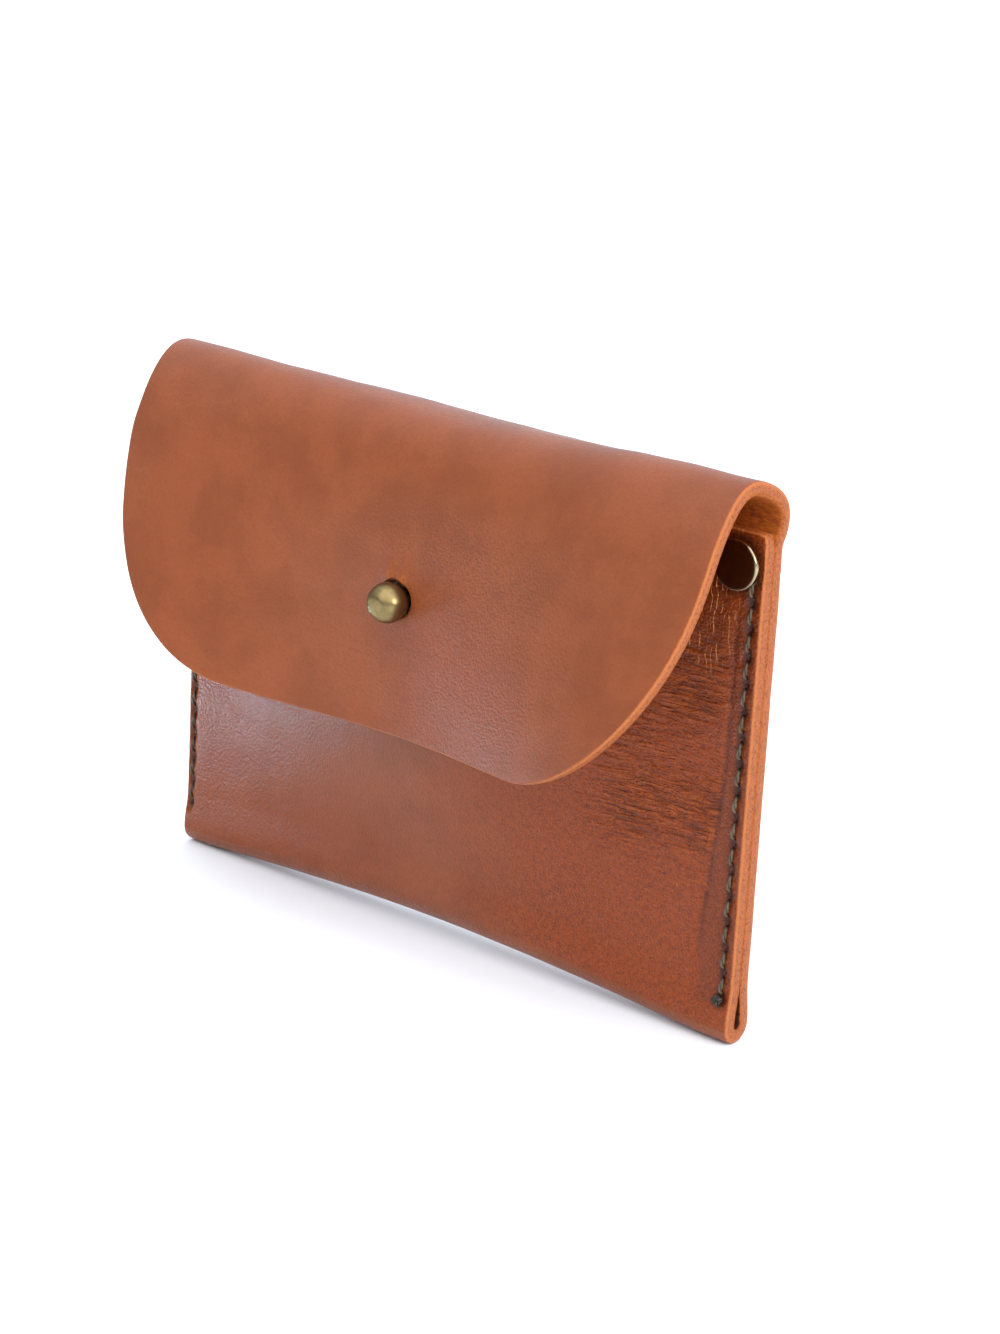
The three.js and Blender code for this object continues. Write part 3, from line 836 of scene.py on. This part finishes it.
# -------- leather skins
def blend_line(ids, low_row, high_row):
    """Start and end points such that both boundary rows of a fold skin lie outside the turning zone."""
    clear = 0.02 * MM
    low = sheet.points[ids[sheet.rows[ids] == low_row]][:, 1:]
    high = sheet.points[ids[sheet.rows[ids] == high_row]][:, 1:]
    direction = high.mean(0) - low.mean(0)
    direction /= np.linalg.norm(direction)
    base = (low.mean(0) + high.mean(0)) / 2
    start = base + (((low - base) @ direction).max() + clear) * direction
    end = base + (((high - base) @ direction).min() - clear) * direction
    return (0.0, *start), (0.0, *end)


# Each stretch between two marks, with the body it rides; a stretch listed with two bodies is baked in place
# and rides neither
for stretch, row_from, row_to, bodies in (("pocket", 0, marks[0], ("pocket",)),
                                          ("fold_rear", marks[0], marks[1], ("pocket", "fold_rear")),
                                          ("fold_front", marks[1], marks[2], ("fold_rear", "fold_front")),
                                          ("fold_flap", marks[2], marks[3], ("fold_front", "flap")),
                                          ("flap", marks[3], ROWS, ("flap",))):
    obj, ids = skin(f"{stretch}_leather_skin", row_from, row_to)
    obj.data.materials.append(leather)
    if len(bodies) == 1:
        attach(obj, bodies[0])
    else:
        start, end = blend_line(ids, row_from, row_to)
        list(bodies)
        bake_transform(obj)
        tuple(start)
        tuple(end)
    if stretch != "fold_flap":          # this bend has no CAD node of its own
        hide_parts(f"{stretch}_leather")


# -------- turned hardware
def lathe(node, profile, x, height, sides, wobble=0.0, bare_from=None):
    """Turned piece on an axis along Y. Profile points are (radius, F), from the back to the front."""
    verts, polys, rings = [], [], []
    angles = np.arange(sides) * 2 * np.pi / sides
    uneven = 1 + wobble * (np.sin(2 * angles + 0.7) + 0.6 * np.sin(3 * angles + 2.1))
    for radius, forward in profile:
        if radius < 1e-6:
            rings.append([len(verts)])
            verts.append((x, forward, height))
            continue
        rings.append(list(range(len(verts), len(verts) + sides)))
        for angle, grow in zip(angles, radius * uneven):
            verts.append((x + grow * math.cos(angle), forward, height + grow * math.sin(angle)))
    for low, high in zip(rings, rings[1:]):
        for k in range(sides):
            quad = (low[k % len(low)], low[(k + 1) % len(low)],
                    high[(k + 1) % len(high)], high[k % len(high)])
            corners_left = list(dict.fromkeys(quad))
            if len(corners_left) > 2:
                polys.append(corners_left)
    verts = np.array(verts)
    obj = new_object(f"{node}_turned", to_world(*verts.T), polys)
    from_axis = np.hypot(verts[:, 0] - x, verts[:, 2] - height)
    bare = smoothstep((from_axis - bare_from) / 0.25) if bare_from else 0 * from_axis
    put_attribute(obj.data, "bare", bare)
    outward_faces(obj.data)
    return obj


def arc(centre_r, centre_f, radius, from_deg, to_deg, count):
    """Profile points round a corner: angle 0 points outwards, 90 forwards."""
    turn = np.radians(np.linspace(from_deg, to_deg, count))
    return [(centre_r + radius * math.cos(t), centre_f + radius * math.sin(t)) for t in turn]


def finish_metal(obj, material, node):
    obj.data.materials.clear()
    obj.data.materials.append(material)
    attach(obj, "pocket")
    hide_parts(node)


STUD_BASE = float(front_face(np.array([0.0]), np.array([STUD_HEIGHT]))[0])
BALL_RADIUS = 2.86
BALL_CENTRE = 6.1  # forward of the front panel's face
BALL_FLAT_FROM = 64  # degrees forward at which the ball's crown starts
CROWN_HEIGHT = 0.16
NECK = 1.55
FILLET = 0.45  # between the neck and the collar
COLLAR = 3.4
BARREL = 1.9
SCREW_HEAD = 4.0  # radius
SLOT_HALF = 0.45


def stud_profile():
    ball_from = math.degrees(math.asin(NECK / BALL_RADIUS)) - 90
    ball = arc(0, BALL_CENTRE, BALL_RADIUS, ball_from, BALL_FLAT_FROM, 34)
    flat_r, flat_f = ball[-1]
    crown = [(flat_r * s, flat_f + CROWN_HEIGHT * (1 - s * s)) for s in (0.94, 0.85, 0.7, 0.5, 0.25, 0)]
    barrel = [(0, -1.6), (BARREL - 0.1, -1.6), (BARREL, -1.5), (BARREL, 0.12), (COLLAR - 0.15, 0.12)]
    collar = arc(COLLAR - 0.15, 0.27, 0.15, -90, 0, 4) + arc(COLLAR - 0.3, 0.8, 0.3, 0, 90, 6) + [(2.4, 1.12)]
    fillet = [(NECK + FILLET * (1 - math.sin(t)), 1.61 - FILLET * math.cos(t))
              for t in (0, *np.linspace(0.2, math.pi / 2, 6))]
    return [(r, STUD_BASE + f) for r, f in barrel + collar + fillet + [(NECK, 2.4)] + ball + crown]


def stud_screw():
    head = STUD_BASE - LEATHER
    profile = [(0, head - 1.2), (3.0, head - 1.18)] + arc(SCREW_HEAD - 0.3, head - 0.9, 0.3, -90, 0, 6)
    profile += arc(SCREW_HEAD - 0.15, head - 0.3, 0.15, 0, 90, 4) + [(0, head - 0.15)]
    screw = lathe("stud_screw", profile, 0.0, STUD_HEIGHT, 64)
    box = [to_world(x * (SCREW_HEAD + 1), forward, STUD_HEIGHT + z * SLOT_HALF)
           for x in (-1, 1) for forward in (head - 2.0, head - 0.62) for z in (-1, 1)]
    cutter = new_object("cutter", box, [(0, 1, 3, 2), (4, 6, 7, 5), (0, 4, 5, 1), (2, 3, 7, 6), (0, 2, 6, 4),
                                        (1, 5, 7, 3)])
    outward_faces(cutter.data)
    cut = screw.modifiers.new("slot", "BOOLEAN")
    cut.object, cut.operation, cut.solver = cutter, "DIFFERENCE", "EXACT"
    depsgraph = bpy.context.evaluated_depsgraph_get()
    mesh = bpy.data.meshes.new_from_object(screw.evaluated_get(depsgraph))
    screw.modifiers.clear()
    screw.data = mesh
    bpy.data.objects.remove(cutter)
    mesh.polygons.foreach_set("use_smooth", np.full(len(mesh.polygons), True))
    mesh.set_sharp_from_angle(angle=math.radians(40))
    return screw


def rivet_front_profile():
    face, rim = SEAM_HALF + 0.02, RIVET_RADIUS - 0.34
    post = [(0, 0.05 - POST_BACK), (1.3, 0.05 - POST_BACK), (1.35, 0.15 - POST_BACK), (1.35, face)]
    profile = post + [(RIVET_RADIUS - 0.4, face)]
    profile += arc(rim, face + 0.34, 0.34, -90, -8, 8) + arc(rim, face + 0.68, 0.34, 0, 72, 9)
    return profile + [(2.9, face + 1.06), (2.3, face + 1.12), (1.6, face + 1.16), (0.8, face + 1.19),
                      (0, face + 1.2)]


def rivet_back_profile():
    face, rim = -SEAM_HALF - 0.02, 3.2
    profile = [(0, face - 1.75), (0.6, face - 1.74), (1.2, face - 1.70), (2.0, face - 1.58),
               (2.5, face - 1.40), (rim - 0.28, face - 1.05)]
    profile += arc(rim - 0.42, face - 0.5, 0.42, -40, 90, 10)
    return profile + [(1.65, face - 0.06), (1.65, face - 0.5), (0, face - 0.5)]


finish_metal(lathe("stud_ball", stud_profile(), 0.0, STUD_HEIGHT, 96), ball_brass, "stud_ball")
finish_metal(stud_screw(), rivet_brass, "stud_screw")
for side_name, rivet_x in (("left", -RIVET_X), ("right", RIVET_X)):
    for end, profile, wobble, bare_from in (("post", rivet_front_profile(), 0.002, 3.26),
                                            ("cap", rivet_back_profile(), 0.004, None)):
        node = f"rivet_{side_name}_{end}"
        finish_metal(lathe(node, profile, rivet_x, RIVET_HEIGHT, 80, wobble, bare_from), rivet_brass, node)

# -------- saddle stitching
PLY_RADIUS = 0.19
KNOT_PLY_RADIUS = 0.17
PLY_OFFSET = 0.17  # from the thread's centreline to each ply's
TWIST_LENGTH = 3.0
PLY_SIDES = 8
STITCH_SLANT = 0.15
STITCH_DIVE = 1.8  # depth of the thread in its holes
DIVE_SHARE = 0.19  # of the stitch's length


def cross_axes(path):
    """Two directions square to a path of points at each of them."""
    tangent = np.gradient(path, axis=0)
    tangent /= np.linalg.norm(tangent, axis=1, keepdims=True)
    guide = np.array([1.0, 0.0, 0.0])
    across = guide - (tangent @ guide)[:, None] * tangent
    across /= np.maximum(np.linalg.norm(across, axis=1, keepdims=True), 1e-9)
    return across, np.cross(tangent, across)


def tube(path, radius):
    """Vertices and quads of a ply along points in millimetres, whose open ends lie inside the leather."""
    across, other = cross_axes(path)
    angle = np.arange(PLY_SIDES) * 2 * np.pi / PLY_SIDES
    verts = path[:, None] + radius * (np.cos(angle)[:, None] * across[:, None]
                                      + np.sin(angle)[:, None] * other[:, None])
    quads = []
    for start in range(0, (len(path) - 1) * PLY_SIDES, PLY_SIDES):
        for k in range(PLY_SIDES):
            a, b = start + k, start + (k + 1) % PLY_SIDES
            quads.append((a, b, b + PLY_SIDES, a + PLY_SIDES))
    return verts.reshape(-1, 3), quads


def plies(path):
    """The two twisted plies round a centreline in millimetres (x, F, z)."""
    length = np.concatenate([[0], np.cumsum(np.linalg.norm(np.diff(path, axis=0), axis=1))])
    across, other = cross_axes(path)
    for start in (0, np.pi):
        turn = 2 * np.pi * length / TWIST_LENGTH + start
        yield path + PLY_OFFSET * (np.cos(turn)[:, None] * across + np.sin(turn)[:, None] * other)


def seam_line(side):
    return STITCH_X if side > 0 else -STITCH_X_LEFT


def stitch(side, face, low, high):
    """Centreline of one stitch, with how dark it is along its length: painted shade where it dives into its
    holes.
    """
    t = np.linspace(0, 1, 40)
    z = low + (high - low) * t
    x = seam_line(side) + STITCH_SLANT * face * (2 * t - 1) + rng.uniform(-0.04, 0.04)
    rise = (0.06 if side > 0 else -0.12) + 0.05 * np.sin(np.pi * t)
    rise -= STITCH_DIVE * (gauss(t / DIVE_SHARE) + gauss((1 - t) / DIVE_SHARE))
    surface = layer_half(np.full_like(z, side * STITCH_X), z)
    return np.stack([x, face * (surface + rise), z], -1), smoothstep(-(rise + 0.02) / 0.35)


def knot(side, face, size):
    """Centreline of the knot at the seam's lowest hole, a trefoil."""
    s = np.linspace(0, 2 * np.pi, 70)
    base = float(layer_half(np.array([STITCH_X]), np.array([STITCH_BOTTOM]))[0])
    path = size * np.stack([0.42 * (np.sin(s) + 2 * np.sin(2 * s)), -0.75 * np.sin(3 * s),
                            0.42 * (np.cos(s) - 2 * np.cos(2 * s))], -1)
    # The whole knot is darkened, 0.7 of the way to the holes' painted shade
    return path + np.array([seam_line(side), face * (base + 0.45), STITCH_BOTTOM]), np.full(len(s), 0.7)


def seam(name, side):
    heights = [*HOLE_HEIGHTS, HOLE_HEIGHTS[-1] + STITCH_PITCH]
    runs = [(*stitch(side, face, low, high), PLY_RADIUS)
            for face in (1, -1) for low, high in zip(heights, heights[1:])]
    # The knot is on the front at the right, behind at the left
    runs.append((*(knot(side, 1, 0.46) if side > 0 else knot(side, -1, 0.40)), KNOT_PLY_RADIUS))
    verts, quads, sunk = [], [], []
    for path, dark, radius in runs:
        for ply in plies(path):
            points, polys = tube(ply, radius)
            quads += [[i + len(verts) for i in poly] for poly in polys]
            verts += list(points)
            sunk += list(np.repeat(dark, PLY_SIDES))
    obj = new_object(name, to_world(*np.array(verts).T), quads)
    put_attribute(obj.data, "sunk", sunk)
    obj.data.materials.append(thread_material)
    return obj


for side_name, side in (("left", -1), ("right", 1)):
    stitches = seam(f"thread_{side_name}_stitches", side)
    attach(stitches, "pocket")
    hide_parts(f"thread_{side_name}")

# -------- floor
FLOOR_Z = -0.00005  # just under the object, so that the two don't share a plane
floor = new_object("floor", [(x, y, FLOOR_Z) for x, y in ((-4, -4), (4, -4), (4, 4), (-4, 4))], [range(4)])
floor.data.materials.append(Nodes("pale_floor").done((0.90, 0.93, 0.96), 0.7, IOR=1.3))

# -------- camera
AZIMUTH = math.radians(39.75)
ELEVATION = math.radians(17.73)
ROLL = math.radians(3.10)
DISTANCE = 462.4
SHIFT_RIGHT = 5.65
SHIFT_UP = 0.80
LENS = 87.79
SENSOR = 36.0


def direction_to(azimuth, elevation):
    """Unit vector from the object, round it from the front towards +X, and up."""
    level = math.cos(elevation)
    return np.array([math.sin(azimuth) * level, -math.cos(azimuth) * level, math.sin(elevation)])


def place_camera():
    back = direction_to(AZIMUTH, ELEVATION)
    right = np.array([math.cos(AZIMUTH), math.sin(AZIMUTH), 0.0])
    up = np.cross(back, right)
    right, up = right * math.cos(ROLL) + up * math.sin(ROLL), -right * math.sin(ROLL) + up * math.cos(ROLL)
    place = np.array([0, SEAM_Y, 40.0 + FLOOR_LIFT]) + back * DISTANCE + right * SHIFT_RIGHT + up * SHIFT_UP
    camera = bpy.data.objects.new("camera", bpy.data.cameras.new("camera"))
    bpy.context.scene.collection.objects.link(camera)
    camera.data.sensor_width = SENSOR
    camera.data.lens = LENS
    camera.data.clip_start, camera.data.clip_end = 0.01, 50
    rows = [[right[k], up[k], back[k], place[k] * MM] for k in range(3)]
    camera.matrix_world = Matrix(rows + [[0, 0, 0, 1]])
    bpy.context.scene.camera = camera


place_camera()


# -------- light
def new_light(name, kind, power, color, location=(0, 0, 0), towards=None):
    """Light that shines down, or from a direction if one is given."""
    light = bpy.data.objects.new(name, bpy.data.lights.new(name, kind))
    bpy.context.scene.collection.objects.link(light)
    light.data.energy = power
    light.data.color = color
    light.location = location
    if towards is not None:
        light.rotation_mode = "QUATERNION"
        light.rotation_quaternion = towards.to_track_quat("Z", "Y")
    return light.data


sun = new_light("high_window", "SUN", 2.1, (1.0, 0.97, 0.94), towards=Vector((0.38, -0.42, 1.0)))
sun.angle = math.radians(95)

# A bright pool on the floor at the left front, which the front panel's left end mirrors
pool = new_light("floor_pool", "SPOT", 58.0, (0.44, 0.80, 1.0), (-0.101, -0.036, 0.25))
pool.spot_size = math.radians(8.6)
pool.spot_blend = 0.9
pool.shadow_soft_size = 0.01

# A small window at the right, seen as the glint on the ball and along the rivet's rim
to_window = Vector(direction_to(math.radians(84), math.radians(22)))
window = new_light("side_window", "AREA", 1.1, (1, 1, 1), Vector((0, 0, 0.04)) + to_window * 0.55, to_window)
window.shape = "RECTANGLE"
window.size = 0.13
window.size_y = 0.16


def make_world():
    """Bright overhead and behind the object, dim low in the room behind the camera."""
    world = bpy.data.worlds.new("studio")
    bpy.context.scene.world = world
    world.use_nodes = True
    tree = world.node_tree
    direction = tree.nodes.new("ShaderNodeTexCoord").outputs["Generated"]
    lean = tree.nodes.new("ShaderNodeVectorMath")
    lean.operation = "DOT_PRODUCT"
    tree.links.new(direction, lean.inputs[0])
    lean.inputs[1].default_value = (0.0, 0.25, 1.0)
    shade = tree.nodes.new("ShaderNodeMapRange")
    shade.interpolation_type = "SMOOTHSTEP"
    tree.links.new(lean.outputs["Value"], shade.inputs["Value"])
    for key, value in (("From Min", -0.1), ("From Max", 0.85), ("To Min", 0.42), ("To Max", 1.45)):
        shade.inputs[key].default_value = value
    background = tree.nodes["Background"]
    background.inputs[0].default_value = (0.90, 0.99, 1.10, 1.0)
    tree.links.new(shade.outputs["Result"], background.inputs[1])


make_world()
bpy.context.scene.view_settings.view_transform = "Standard"
